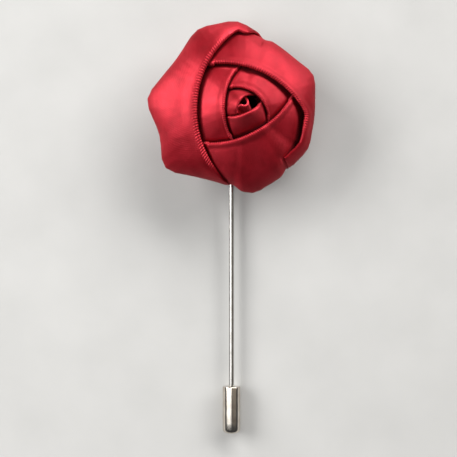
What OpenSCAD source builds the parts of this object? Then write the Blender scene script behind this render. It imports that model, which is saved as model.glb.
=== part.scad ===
// Flower lapel pin: a wound satin ribbon rose on a stick pin with a round metal cap.
// It lies on its back: the felt and the cap rest on z = 0, the rose faces up and the pin runs
// along -Y.
// The origin is the middle of the rose, on the face of the felt.

/* [Rose] */
// Width of the rose across its petals
rose_w = 40; // [36:1:46]
// Height of the bud's top above the surface that the pin lies on
rose_h = 22; // [21:0.5:26]
// Height of the widest line of the outer petals above that surface
rim_h = 9; // [8:0.25:10]
// Height of the outer petals' shoulder below the bud's top
shoulder_drop = 4; // [3:0.25:5]
// Thickness of a petal, a folded and padded turn of ribbon
petal_t = 1; // [1:0.1:1.2]
// Gap between one petal and the next
petal_gap = 0.3; // [0.2:0.05:0.4]
// Height that a petal swells by, just outside its folded lip
lip_swell = 0.5; // [0:0.1:0.8]
// Distance that an outer petal tucks in under the one that covers it
tuck = 2.9; // [2:0.1:3.4]
// Width of the petals where they are gathered behind the rose
gather_w = 22; // [20:0.5:24]

/* [Bud] */
// Width of the rolled bud
bud_w = 8; // [6:0.25:9]
// Thickness of the rolled ribbon in the bud
bud_t = 1; // [0.8:0.1:1.2]
// Gap between the turns of the roll
bud_gap = 1.2; // [0.4:0.05:1.6]

/* [Felt back] */
// Width of the round felt
felt_w = 23; // [20:0.5:24]
// Thickness of the felt
felt_t = 2.8; // [2.6:0.1:3]

/* [Pin] */
// Diameter of the wire
wire_d = 1.2; // [1:0.05:1.3]
// Length of the wire from the middle of the rose to its point
wire_len = 76.8; // [70:0.5:90]
// Length of the tapered point
point_len = 3; // [2:0.25:4]
// Width of the tip of the point
tip_w = 0.16; // [0.1:0.02:0.3]
// Width of the glue pad
pad_w = 13; // [10:0.5:15]
// Thickness of the glue pad
pad_t = 0.8; // [0.6:0.1:1]
// Width of the wire's flattened head
head_w = 1.6; // [1.4:0.1:2]
// Thickness of the wire's flattened head
head_t = 0.9; // [0.7:0.05:1]
// Length of the head that stands out past the felt
head_out = 0.9; // [0.6:0.1:1.5]
// Length of the grip groove round the wire, at the mouth of the cap
groove_len = 1; // [0.8:0.1:1.5]
// Depth of the grip groove
groove_depth = 0.2; // [0.16:0.02:0.24]

/* [Cap] */
// Diameter of the cap
cap_d = 4.4; // [3.6:0.1:5]
// Length of the cap
cap_len = 11.6; // [11:0.1:14]
// Length of the wire that the cap covers
cap_grip = 8.5; // [7:0.25:9]
// Thickness of the cap's closed end
cap_end = 2; // [1:0.1:2.4]
// Radius of the cap's rounded end
cap_round = 1.1; // [0.6:0.1:1.5]
// Bevel round the inside of the cap's mouth
cap_bevel = 0.3; // [0.1:0.05:0.5]

/* [Fit] */
// Running clearance round the wire in the cap
cap_fit = 0.05; // [0.03:0.01:0.09]
// Gap between pieces that are glued or laid together
glue_gap = 0.2; // [0.1:0.05:0.3]

/* [Hidden] */

ROUND = 48;

half_w = rose_w / 2;
// Distance from one turn to the next, and the drop that clears it on the slope of the rose.
pitch = petal_t + petal_gap;
layer = 1.15 * pitch;
axis_h = cap_d / 2;
wire_r = wire_d / 2;
felt_r = felt_w / 2;
gather_r = gather_w / 2;
// Radius of the core, the narrow petals wound round the bud. It follows both the rose's width and the
// gathered base that it stands in.
core_r = lower(half_w / 2, gather_r - petal_t, layer);
shoulder_h = rose_h - shoulder_drop;
base_h = max(felt_t, axis_h + wire_r) + glue_gap;

// Places along the pin, measured from the middle of the rose.
head_end = felt_r + head_out;
cap_mouth = wire_len - cap_grip;
groove_from = cap_mouth - glue_gap;
point_from = wire_len - point_len;

// The petals are laid out round the middle of the bud, which sits off the middle of the rose.
bud_at = [0.13, -0.03] * half_w;

// Corners of the rose's outline round the bud, with straight sides between them.
// Columns: angle, distance as a share of half the rose's width.
corners = [
    [-3, 0.88], [26, 0.985], [58, 0.895], [93, 1.10], [119, 1.14], [141, 1.01], [173, 1.19],
    [197, 1.04], [217, 1.20], [247, 0.92], [277, 1.03], [299, 0.94], [330, 0.935], [357, 0.88]];

// Petals from the innermost to the outermost. The folded lip of each is an arc of a circle.
// Columns: first and last angle, in whole steps of the grid; the lip's centre across and along,
// and its radius; the strip left between lip and rim; for a narrow petal of the bud, the radius of
// its rim and of its foot; and where the first and the last end stop, on the scale on which 0 is the
// bud's top, 1 the rim and 2 the foot, or 0 for an end that is cut straight. RIM and FOOT are shares
// of core_r, and the other lengths are shares of half_w.
FROM = 0;
TO = 1;
LIP_X = 2;
LIP_Y = 3;
LIP_R = 4;
STRIP = 5;
RIM = 6;
FOOT = 7;
FIRST_END = 8;
LAST_END = 9;
petals = [
    [45, 262.5, 0.266, -0.085, 0.21, 0.05, 0.77, 0.52, 0, 0],
    [187.5, 390, 0.016, 0.242, 0.40, 0.05, 1.03, 0.69, 0, 0],
    [-45, 142.5, 0.046, -0.183, 0.396, 0.05, 0, 0, 0, 0],
    [82.5, 270, 0.666, -0.033, 0.76, 0.05, 0, 0, 0, 0],
    [202.5, 382.5, -0.238, 0.651, 1.10, 0.05, 0, 0, 0, 0],
    [-52.5, 142.5, -0.155, -0.739, 1.239, 0.11, 0, 0, 1.05, 0],
    [67.5, 262.5, 0.827, -0.056, 1.243, 0.055, 0, 0, 1.05, 1.3]];
// Petals from this one outwards are wide, and from the next they reach the rose's outline.
FIRST_WIDE = 3;
FIRST_OUTER = 5;

// Angle over which a covered petal rises again past the end of the one that covers it, for petals
// that are covered by an inner one and by an outer one.
inner_fade = 22;
outer_fade = 7.5;
// Angle past its end over which an outer petal still holds the one beneath it in.
hold = 2;
// Angle over which a petal's end narrows.
taper = 12;
// Angle over which an outer petal opens a hollow over the petal beneath it, from its end inwards,
// and how far it already stands off at its end.
open_turn = 20;
end_tuck = 1.2 * layer;
// Angle to each side over which the corners of the outline are rounded.
corner_turn = 6;
// How far the rims of the wide inner petals lie inside the outer ones', and inside each other's.
inner_tuck = tuck + 1.3 * layer;
inner_step = 1.25 * layer;
// Height of the inner petals' widest line above the outer ones'.
inner_rise = 0.4 * pitch;
// How far each turn of ribbon at the gathered base moves the next foot in, and up.
foot_in = 0.4 * pitch;
foot_up = 1.1 * pitch;
// Turns of the outer petals that lie under every inner petal's foot.
OUTER_TURNS = 2;
// Roundness of the petals' underside, from 1, a cone, to a bowl.
bowl = 1.35;
// Distance over which a petal dips before it passes under a lip.
dip_run = 0.14 * half_w;
// Spread of the rise towards the bud, and of the deeper dips round it, and how much deeper they are.
rise_spread = 0.25 * half_w;
dip_spread = 0.4 * half_w;
dip_more = 0.9;
// Distance from a lip to the top of its swell.
swell_at = 0.09 * half_w;
// How soon the rise and the swell die out towards the rim.
rim_fade = 3;
// How far the edge of a lip turns from square to its slope, 0, to upright, 1.
lip_lean = 0.8;
// How far the rounding of a lip stands out.
lip_round = 0.4 * petal_t;
// Grid of each petal: the angle from one column to the next, the rows from lip to foot, and how
// much closer the rows are near the lip.
step = 7.5;
rows = 11;
row_bias = 1.15;

// Section of the bud's outer form. Columns: radius as a share of half the bud's width, height as a
// share of the bud's height.
bud_form = [
    [0, 1], [0.15, 0.985], [0.2, 0.90], [0.36, 0.79], [0.56, 0.67], [0.76, 0.55],
    [0.92, 0.42], [0.92, 0.25], [0.8, 0], [0, 0]];
// Direction of the ribbon's end in the middle of the roll, the length over which its S opens, and
// the points on each side of its line.
bud_turn = 4;
bud_open = 1.6 * bud_t;
bud_steps = 28;

function mix(a, b, t) = a + (b - a) * t;
function limit(t) = min(1, max(0, t));
function ease(t) = let (u = limit(t)) u * u * (3 - 2 * u);
function turned(a) = a - 360 * floor(a / 360);
function apart(a, b) = let (d = turned(a - b)) min(d, 360 - d);
function sum(v, i = 0) = i < len(v) ? v[i] + sum(v, i + 1) : 0;
function lower(a, b, k) = let (h = limit(0.5 + (b - a) / (2 * k))) mix(b, a, h) - k * h * (1 - h);
function unit(v) = v / norm(v);

// Distance from the bud to the straight side that crosses the angle a.
function side_r(a) =
    let (u = corners[0][0] + turned(a - corners[0][0]),
         i = max([for (j = [0 : len(corners) - 2]) if (corners[j][0] <= u) j]),
         p = corners[i],
         q = corners[i + 1])
    half_w * p[1] * q[1] * sin(q[0] - p[0]) / (p[1] * sin(u - p[0]) + q[1] * sin(q[0] - u));

function outline_r(a) = (side_r(a - corner_turn) + 2 * side_r(a) + side_r(a + corner_turn)) / 4;

// How much of petal k lies over the angle a, from 0 to 1.
function cover(k, a) =
    let (p = petals[k - 1], half = (p[TO] - p[FROM]) / 2)
    k < FIRST_OUTER ? 1 - ease((apart(a, p[FROM] + half) - half) / inner_fade)
    : 1 - ease((apart(a, p[FROM] + half) - half - hold) / outer_fade);

// How many of the petals above k, from lo to hi, lie over the angle a.
function covers(k, a, lo, hi) =
    sum([for (j = [max(k + 1, lo) : 1 : hi]) cover(j, a)]);

// How far outer petal j pushes in the rim of the petal beneath it at the angle a.
function push(j, a) =
    let (p = petals[j - 1], half = (p[TO] - p[FROM]) / 2)
    cover(j, a) * mix(end_tuck, tuck, ease((half - apart(a, p[FROM] + half)) / open_turn));

// Radius of petal k's widest line at the angle a. Wide inner petals keep clear of the corners.
function rim_r(k, a) =
    k >= FIRST_OUTER ? outline_r(a) - sum([for (j = [k + 1 : 1 : len(petals)]) push(j, a)])
    : k >= FIRST_WIDE ? lower(outline_r(a), half_w, layer) - inner_tuck
        - inner_step * covers(k, a, FIRST_WIDE, FIRST_OUTER - 1)
    : petals[k - 1][RIM] * core_r;

// Turns of ribbon between petal k's foot and the gathered base at the angle a.
function turns_below(k, a) =
    k >= FIRST_OUTER ? covers(k, a, FIRST_OUTER, len(petals))
    : k >= FIRST_WIDE ? OUTER_TURNS + covers(k, a, FIRST_WIDE, FIRST_OUTER - 1)
    : 0;

// Distance from the bud to petal k's lip arc at the angle a, held inside the rim.
function lip_r(k, a) =
    let (p = petals[k - 1],
         c = [p[LIP_X], p[LIP_Y]] * half_w - bud_at,
         along = c * [cos(a), sin(a)],
         arc = along + sqrt((p[LIP_R] * half_w) ^ 2 - c * c + along ^ 2))
    lower(arc, rim_r(k, a) - p[STRIP] * half_w, petal_t);

// Height of petal k's upper surface at the radius r. hidden lists, for each petal above it at this
// angle, how much it covers and where its lip is.
function top_h(r, rim, rim_at, lip, hidden) =
    let (m = sum([for (h = hidden) h[0] * ease(1 - (h[1] - petal_gap - r) / dip_run)]),
         rise = exp(-(r / rise_spread) ^ 2),
         drop = layer * m * (1 + dip_more * exp(-(r / dip_spread) ^ 2)),
         x = max(0, r - lip) / swell_at,
         swell = lip_swell * x * exp((1 - x * x) / 2) * (1 - limit(m)),
         dome = sqrt(max(0, 1 - (r / rim) ^ 2)))
    rim_at + (shoulder_h - drop - rim_at) * dome
        + (shoulder_drop * rise + swell) * min(1, rim_fade * dome);

// One column of petal k's outer surface, from its lip to its foot. On its scale 0 is the top of the
// bud, 1 the rim and 2 the foot.
function column(k, a) =
    let (p = petals[k - 1],
         n = turns_below(k, a),
         rim = rim_r(k, a),
         lip = lip_r(k, a),
         rim_at = rim_h + (k < FIRST_OUTER ? inner_rise : 0),
         foot_r = k >= FIRST_WIDE ? gather_r - foot_in * n : p[FOOT] * core_r,
         foot_at = base_h + foot_up * n,
         half = (p[TO] - p[FROM]) / 2,
         stop = turned(a - p[FROM] - half) > 180 ? p[FIRST_END] : p[LAST_END],
         end = ease(1 - (half - apart(a, p[FROM] + half)) / taper),
         lip_at = asin(min(1, lip / rim)) / 90,
         start = stop > 0 ? mix(lip_at, stop, end) : lip_at,
         above = [k + 1 : 1 : len(petals)],
         hidden = [for (j = above) if (cover(j, a) > 0) [cover(j, a), lip_r(j, a)]])
    [for (i = [0 : rows])
        let (s = mix(start, 2, (i / rows) ^ row_bias),
             r = s < 1 ? rim * sin(90 * s) : foot_r + (rim - foot_r) * (1 - (s - 1) ^ bowl),
             h = s < 1 ? top_h(r, rim, rim_at, lip, hidden) : mix(rim_at, foot_at, s - 1))
        [bud_at[0] + r * cos(a), bud_at[1] + r * sin(a), h]];

// A petal is a wall of one thickness under its outer surface, with a rounded lip.
module petal(k) {
    p = petals[k - 1];
    n = round((p[TO] - p[FROM]) / step);
    outer = [for (c = [0 : n]) column(k, p[FROM] + step * c)];
    inner = [for (c = [0 : n]) [for (i = [0 : rows])
        let (across = outer[min(n, c + 1)][i] - outer[max(0, c - 1)][i],
             down = outer[c][min(rows, i + 1)] - outer[c][max(0, i - 1)],
             normal = unit(cross(down, across)))
        outer[c][i] - petal_t * (i > 0 ? normal : unit(mix(normal, [0, 0, 1], lip_lean)))]];
    ring = 2 * rows + 3;
    points = [for (c = [0 : n]) each [
        for (i = [rows : -1 : 0]) outer[c][i],
        (outer[c][0] + inner[c][0]) / 2 + lip_round * unit(outer[c][0] - outer[c][1]),
        for (i = [0 : rows]) inner[c][i]]];
    faces = [
        for (c = [0 : n - 1], i = [0 : ring - 1])
            let (q = (i + 1) % ring, a = c * ring, b = a + ring)
            each [[a + i, b + q, b + i], [a + i, a + q, b + q]],
        for (end = [0, n * ring])
            let (back = end > 0 ? 1 : 0)
            each [
                for (i = [0 : rows - 1])
                    let (a = end + i, b = a + 1, d = end + ring - 1 - i, c = d - 1)
                    each back == 0 ? [[a, c, b], [a, d, c]] : [[a, b, c], [a, c, d]],
                back == 0 ? [end + rows, end + rows + 2, end + rows + 1]
                : [end + rows, end + rows + 1, end + rows + 2]]];
    polyhedron(points = points, faces = faces);
}

// The bud is a ribbon rolled from its middle, trimmed to a pointed form.
module bud() {
    half = bud_w / 2;
    rate = 180 / (bud_t + bud_gap);
    line = [for (i = [-bud_steps : bud_steps])
        let (s = half * i / bud_steps, a = bud_turn + rate * s * s / (abs(s) + bud_open))
        s * [cos(a), sin(a)]];
    last = len(line) - 1;
    side = [for (i = [0 : last])
        let (d = unit(line[min(last, i + 1)] - line[max(0, i - 1)]))
        bud_t / 2 * [-d[1], d[0]]];
    roll = concat(
        [for (i = [0 : last]) line[i] + side[i]],
        [for (i = [last : -1 : 0]) line[i] - side[i]]);
    color("firebrick")
    translate([bud_at[0], bud_at[1], base_h])
    intersection() {
        linear_extrude(height = rose_h - base_h)
        polygon(roll);
        rotate_extrude($fn = ROUND)
        polygon([for (p = bud_form) [p[0] * half, p[1] * (rose_h - base_h)]]);
    }
}

module petal_1() { color([0.72, 0.05, 0.09]) petal(1); }
module petal_2() { color([0.66, 0.04, 0.08]) petal(2); }
module petal_3() { color([0.74, 0.06, 0.10]) petal(3); }
module petal_4() { color([0.68, 0.04, 0.08]) petal(4); }
module petal_5() { color([0.60, 0.03, 0.07]) petal(5); }
module petal_6() { color([0.76, 0.06, 0.10]) petal(6); }
module petal_7() { color([0.70, 0.05, 0.09]) petal(7); }

// Lays what follows along the pin, with its length measured from the middle of the rose.
module along_pin(from = 0) {
    translate([0, -from, axis_h])
    rotate([90, 0, 0])
    children();
}

// Felt glued over the back, with a recess for the glue pad and a groove for the wire.
module felt_back() {
    groove_w = max(wire_d, head_w) + glue_gap;
    groove_h = axis_h - wire_r - glue_gap / 2;
    color("darkred")
    difference() {
        cylinder(r = felt_r, h = felt_t, $fn = ROUND);
        translate([0, 0, felt_t - pad_t - glue_gap / 2])
        cylinder(r = pad_w / 2 + glue_gap, h = felt_t, $fn = ROUND);
        translate([-groove_w / 2, -felt_w, groove_h])
        cube([groove_w, felt_w, felt_t]);
    }
}

// Stick pin: a flat glue pad, and a wire with a flattened head soldered to it, a grip groove and
// a point.
module pin() {
    color("silver")
    union() {
        translate([0, 0, felt_t - pad_t])
        cylinder(r = pad_w / 2, h = pad_t, $fn = ROUND);
        translate([-head_w / 2, -head_end, axis_h - head_t / 2])
        cube([head_w, head_end, head_t]);
        along_pin(head_end)
        cylinder(r = wire_r, h = groove_from - head_end, $fn = ROUND);
        along_pin(groove_from)
        cylinder(r = wire_r - groove_depth, h = groove_len, $fn = ROUND);
        along_pin(groove_from + groove_len)
        cylinder(r = wire_r, h = point_from - groove_from - groove_len, $fn = ROUND);
        along_pin(point_from)
        cylinder(r1 = wire_r, r2 = tip_w / 2, h = point_len, $fn = ROUND);
    }
}

// Cap: a turned sleeve with a bevelled mouth, a blind bore and a rounded end.
module cap() {
    bore = wire_r + cap_fit;
    color("gainsboro")
    along_pin(cap_mouth)
    difference() {
        rotate_extrude($fn = ROUND)
        intersection() {
            square([axis_h, cap_len]);
            union() {
                square([axis_h, cap_len - cap_round]);
                square([axis_h - cap_round, cap_len]);
                translate([axis_h - cap_round, cap_len - cap_round])
                circle(r = cap_round, $fn = ROUND);
            }
        }
        cylinder(r = bore, h = cap_len - cap_end, $fn = ROUND);
        cylinder(r1 = bore + cap_bevel, r2 = bore, h = cap_bevel, $fn = ROUND);
    }
}

bud();
petal_1();
petal_2();
petal_3();
petal_4();
petal_5();
petal_6();
petal_7();
felt_back();
pin();
cap();
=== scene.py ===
# %% [markdown]
# This lesson dresses a lapel pin: a rose wound from red satin ribbon, fixed to a stick pin with a
# round metal cap. The solid model comes in as a fixed frame. It gives every piece its place, and
# the cells below make what the eye sees, such as thin ribbon with folded lips, selvedge ribs,
# pressed felt and plated metal.

# %% Frame
import math
from collections import namedtuple

import bmesh
import bpy
import numpy as np
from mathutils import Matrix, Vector, noise


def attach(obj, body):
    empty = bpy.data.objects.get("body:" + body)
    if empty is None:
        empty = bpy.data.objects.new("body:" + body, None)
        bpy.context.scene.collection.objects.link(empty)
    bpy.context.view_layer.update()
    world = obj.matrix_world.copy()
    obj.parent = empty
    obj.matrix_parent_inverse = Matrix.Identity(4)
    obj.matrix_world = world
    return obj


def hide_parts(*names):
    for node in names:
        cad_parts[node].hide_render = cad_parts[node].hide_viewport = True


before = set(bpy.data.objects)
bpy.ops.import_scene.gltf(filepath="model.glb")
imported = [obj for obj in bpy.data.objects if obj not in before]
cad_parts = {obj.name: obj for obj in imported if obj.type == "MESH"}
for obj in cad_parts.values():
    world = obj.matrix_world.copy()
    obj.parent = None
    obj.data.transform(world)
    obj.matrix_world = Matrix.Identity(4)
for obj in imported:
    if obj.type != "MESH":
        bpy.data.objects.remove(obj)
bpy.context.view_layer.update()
MM = 0.001
BROOCH = "brooch"
CAP = "cap"

# %% [markdown]
# The picture looks straight down on the pin, which lies on its back. A long lens from 30 cm away
# keeps the petals from looking stretched. The camera is placed first, and its height is measured
# from the widest line of the rose. The standard view transform keeps reds as deep as dyed cloth.

# %% Camera
RIM_H = 9.0
VIEW_DISTANCE = 0.300
VIEW_X = -0.73
VIEW_Y = -29.2
PICTURE_PIXELS = 457
MM_PER_PIXEL = 0.2424
VIEW_WIDTH = PICTURE_PIXELS * MM_PER_PIXEL * MM
SENSOR = 36.0


def make_camera():
    data = bpy.data.cameras.new("camera")
    data.sensor_width = SENSOR
    data.lens = SENSOR * VIEW_DISTANCE / VIEW_WIDTH
    camera = bpy.data.objects.new("camera", data)
    camera.location = (VIEW_X * MM, VIEW_Y * MM, RIM_H * MM + VIEW_DISTANCE)
    bpy.context.scene.collection.objects.link(camera)
    bpy.context.scene.camera = camera
    return camera


camera = make_camera()
bpy.context.scene.view_settings.view_transform = "Standard"
print("camera: lens", round(camera.data.lens, 1), "mm")

# %% [markdown]
# A ribbon rose is one long ribbon, folded over at each turn, so that every petal lies over the one
# before. All petals follow one rounded form where they show, and each dips under the folded lip of
# the next. The sizes and the table of petals are those of the solid model, in millimetres and
# degrees, so each ribbon lies where its solid is.

# %% Sizes of the rose
HALF_W = 20.0
ROSE_H = 22.0
SHOULDER_DROP = 4.0
SHOULDER_H = ROSE_H - SHOULDER_DROP
GATHER_R = 11.0
BASE_H = 3.0
PETAL_T = 1.0
PETAL_GAP = 0.3
PITCH = PETAL_T + PETAL_GAP
LAYER = 1.15 * PITCH
BUD_AT = np.array([0.13, -0.03]) * HALF_W

# Petals from FIRST_WIDE on follow the outline of the rose, and those from FIRST_OUTER on reach it.
# The feet of the ones between stand on OUTER_TURNS turns of the outer ones.
FIRST_WIDE = 3
FIRST_OUTER = 5
OUTER_TURNS = 2

# Room that a petal leaves for the ones over it, how far its side closes in beside its ends, and how
# feet are stacked, in and up, turn by turn.
TUCK = 2.9
END_TUCK = 0.65
END_CLOSE = 0.3
INNER_TUCK = TUCK + 1.3 * LAYER
INNER_STEP = 1.25 * LAYER
INNER_RISE = 0.4 * PITCH
FOOT_IN = 0.4 * PITCH
FOOT_UP = 1.1 * PITCH

# Turns over which a petal fades out past its ends, stands open, closes in and rounds a corner.
INNER_FADE = 22.0
OUTER_FADE = 7.5
OPEN_TURN = 20.0
LAST_OPEN_TURN = 34.0
CLOSE_TURN = 7.0
CORNER_TURN = 6.0

# Corners of the outline round the bud: angle, and distance as a share of half the width.
CORNERS = [
    (-3, 0.88), (26, 0.985), (58, 0.895), (93, 1.10), (119, 1.14), (141, 1.01), (173, 1.19),
    (197, 1.04), (217, 1.20), (247, 0.92), (277, 1.03), (299, 0.94), (330, 0.935), (357, 0.88)]

# Petals from the innermost: the angles of both ends, the circle that the lip lies on and the least
# strip outside it at both ends, as shares of half the width, and for the two round the bud the
# radii of the widest line and of the foot, as shares of the core's.
Petal = namedtuple("Petal", "first last lip_x lip_y lip_r strip last_strip rim foot")
PETALS = {
    1: Petal(45, 262.5, 0.266, -0.085, 0.21, 0.05, 0.05, 0.77, 0.52),
    2: Petal(187.5, 390, 0.016, 0.242, 0.40, 0.05, 0.05, 1.03, 0.69),
    3: Petal(-45, 142.5, 0.046, -0.183, 0.396, 0.05, 0.05, 0, 0),
    4: Petal(82.5, 270, 0.666, -0.033, 0.76, 0.05, 0.05, 0, 0),
    5: Petal(202.5, 382.5, -0.238, 0.651, 1.10, 0.05, 0.05, 0, 0),
    6: Petal(-52.5, 142.5, -0.155, -0.739, 1.239, 0.12, 0.05, 0, 0),
    7: Petal(73, 262.5, 0.827, -0.056, 1.243, 0.12, 0.015, 0, 0)}
LAST = max(PETALS)

# Ends of a lip that show: the place down the side that each sinks to, the turn over which it sinks,
# and the turn over which the fold flattens towards it.
End = namedtuple("End", "sink turn flat")
FIRST_ENDS = {6: End(1.02, 3, 45), 7: End(1.10, 16, 40)}
LAST_ENDS = {7: End(1.15, 5, 30)}
PLAIN_END = End(0, 1, 7)

# Lips: radius of the fold, height of the roll and its place, width and pitch of the selvedge.
Lip = namedtuple("Lip", "fold roll roll_at ribs pitch")
LIPS = {
    1: Lip(0.24, 0.10, 0.6, 0.50, 0.32),
    2: Lip(0.28, 0.22, 0.6, 0.80, 0.36),
    3: Lip(0.28, 0.24, 0.6, 0.90, 0.38),
    4: Lip(0.34, 0.30, 0.8, 1.25, 0.50),
    5: Lip(0.34, 0.30, 0.7, 1.20, 0.50),
    6: Lip(0.36, 0.40, 0.75, 1.40, 0.56),
    7: Lip(0.40, 0.34, 1.5, 1.90, 0.62)}
print("petals:", LAST)

# %% [markdown]
# Small rules do the fitting. An angle is measured round the bud, in degrees. cover says how much of
# a petal lies over an angle, rim_r gives a petal's widest line there, and lip_r gives the distance
# to its folded lip, which is an arc of a circle as seen from the front.

# %% Rules of the rose


def mix(a, b, t):
    return a + (b - a) * t


def ease(t):
    u = np.clip(t, 0, 1)
    return u * u * (3 - 2 * u)


def lower(a, b, k):
    """The lower of two values, with the change from one to the other rounded over k."""
    h = np.clip(0.5 + (b - a) / (2 * k), 0, 1)
    return mix(b, a, h) - k * h * (1 - h)


def apart(a, b):
    d = (a - b) % 360
    return min(d, 360 - d)


def way(a):
    return np.array([math.cos(math.radians(a)), math.sin(math.radians(a))])


CORE_R = lower(HALF_W / 2, GATHER_R - PETAL_T, LAYER)


def side_r(a):
    """Distance from the bud to the straight side of the outline that crosses the angle a."""
    u = CORNERS[0][0] + (a - CORNERS[0][0]) % 360
    i = max(j for j in range(len(CORNERS) - 1) if CORNERS[j][0] <= u)
    (a0, d0), (a1, d1) = CORNERS[i], CORNERS[i + 1]
    turn = math.radians(a1 - a0)
    below = d0 * math.sin(math.radians(u - a0)) + d1 * math.sin(math.radians(a1 - u))
    return HALF_W * d0 * d1 * math.sin(turn) / below


def outline_r(a):
    return (side_r(a - CORNER_TURN) + 2 * side_r(a) + side_r(a + CORNER_TURN)) / 4


def inside(k, a):
    """Angle from a to the nearer end of petal k, below zero outside it."""
    half = (PETALS[k].last - PETALS[k].first) / 2
    return half - apart(a, PETALS[k].first + half)


def cover(k, a):
    fade = INNER_FADE if k < FIRST_OUTER else OUTER_FADE
    return 1 - ease(-inside(k, a) / fade)


def covers(k, a, low, high):
    return sum(cover(j, a) for j in range(max(k + 1, low), high + 1))


def opening(j, a):
    """How far petal j stands open over the ones below, from 0 at its end to 1."""
    return ease(inside(j, a) / (LAST_OPEN_TURN if j == LAST else OPEN_TURN))


def push(j, a):
    return cover(j, a) * mix(END_TUCK, TUCK, opening(j, a))


def close_in(k, a):
    """How far the petal's side leans in beside one of its ends, so that it meets the petal below."""
    return END_CLOSE * ease(1 - inside(k, a) / CLOSE_TURN)


def rim_r(k, a):
    if k >= FIRST_OUTER:
        return outline_r(a) - close_in(k, a) - sum(push(j, a) for j in range(k + 1, LAST + 1))
    if k >= FIRST_WIDE:
        wide = lower(outline_r(a), HALF_W, LAYER) - INNER_TUCK
        return wide - INNER_STEP * covers(k, a, FIRST_WIDE, FIRST_OUTER - 1)
    return PETALS[k].rim * CORE_R


def turns_below(k, a):
    """How many turns the foot of petal k stands on at the angle a."""
    if k >= FIRST_OUTER:
        return covers(k, a, FIRST_OUTER, LAST)
    if k >= FIRST_WIDE:
        return OUTER_TURNS + covers(k, a, FIRST_WIDE, FIRST_OUTER - 1)
    return 0


def lip_r(k, a):
    p = PETALS[k]
    centre = np.array([p.lip_x, p.lip_y]) * HALF_W - BUD_AT
    along = centre @ way(a)
    arc = along + math.sqrt((p.lip_r * HALF_W) ** 2 - centre @ centre + along ** 2)
    strip = mix(p.strip, p.last_strip, ease((a - p.first) % 360 / (p.last - p.first)))
    return lower(arc, rim_r(k, a) - strip * HALF_W, PETAL_T)


print("lip of the outer petal at 180 degrees:", round(float(lip_r(LAST, 180)), 2), "mm")

# %% [markdown]
# The surface of a petal rises in a dome from its widest line, and a little more towards the bud,
# where the corners of the outline have faded out. Along its lip the folded ribbon stands up in a
# soft roll, with a shallow valley behind it. Under the lip of a petal above, the surface dips by
# one layer, and by more near the bud.

# %% Dome of a petal
# The side's bend between widest line and foot, the spread of the rise round the bud, and how soon
# rise and roll come in above the widest line.
BOWL = 1.35
RISE_SPREAD = 0.25 * HALF_W
RIM_FADE = 3.0

# The valley: its depth as a share of the roll, its place and spread as multiples of the roll's place.
VALLEY = 0.3
VALLEY_AT = 2.3
VALLEY_SPREAD = 0.7

# The dip takes DIP_RUN to reach its depth, DIP_PAST outside the lip above. Near the bud it is deeper
# by DIP_MORE. It fades over DIP_FADE degrees past the end of an outer petal, from END_DIP there.
DIP_RUN = 0.08 * HALF_W
DIP_PAST = 0.3
DIP_SPREAD = 0.4 * HALF_W
DIP_MORE = 0.9
DIP_FADE = 16.0
END_DIP = 0.4

# Corners are rounded over this turn to both sides, and the power fades that out at the widest line.
ROUND_OVER = 36.0
ROUND_STEPS = 13
ROUND_POWER = 6
Facts = namedtuple("Facts", "rim lip rim_at foot_r foot_at full hidden more")


def end_of(k, a):
    """The end of petal k's lip that is nearer to the angle a."""
    at_first = (a - (PETALS[k].first + PETALS[k].last) / 2) % 360 > 180
    return (FIRST_ENDS if at_first else LAST_ENDS).get(k, PLAIN_END)


def fullness(k, a):
    """How round petal k's lip is at the angle a, from 0 at a flattened end to 1."""
    return ease(inside(k, a) / end_of(k, a).flat)


def roll_form(k, d):
    """Height of petal k's rolled lip at the distance d outside its edge."""
    x = np.maximum(0, d) / LIPS[k].roll_at
    valley = VALLEY * np.exp(-((x - VALLEY_AT) / VALLEY_SPREAD) ** 2)
    return LIPS[k].roll * (x * np.exp((1 - x * x) / 2) - valley)


def rounder(a, reach):
    """How much farther out the outline would run at the angle a if its corners were rounded off."""
    turns = ROUND_OVER * np.linspace(-1, 1, ROUND_STEPS)
    sides = [lower(outline_r(a + t), reach, LAYER) for t in turns]
    return sum(sides) / ROUND_STEPS - sides[ROUND_STEPS // 2]


def dip(j, a):
    """How much the petals below dip under petal j at the angle a."""
    under = cover(j, a) if j < FIRST_OUTER else 1 - ease(-inside(j, a) / DIP_FADE)
    return under * mix(END_DIP, 1, opening(j, a))


def petal_facts(k, a):
    """What the rules say of petal k at the angle a. hidden lists the dip and lip of each petal above,
    and more is how much farther out the outline runs with its corners rounded."""
    turns = turns_below(k, a)
    above = [j for j in range(k + 1, LAST + 1) if dip(j, a) > 0]
    reach = 2 * HALF_W if k >= FIRST_OUTER else HALF_W
    return Facts(
        rim=rim_r(k, a),
        lip=lip_r(k, a),
        rim_at=RIM_H + (INNER_RISE if k < FIRST_OUTER else 0),
        foot_r=GATHER_R - FOOT_IN * turns if k >= FIRST_WIDE else PETALS[k].foot * CORE_R,
        foot_at=BASE_H + FOOT_UP * turns,
        full=fullness(k, a),
        hidden=[(dip(j, a), lip_r(j, a)) for j in above],
        more=rounder(a, reach) if k >= FIRST_WIDE else 0)


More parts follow.
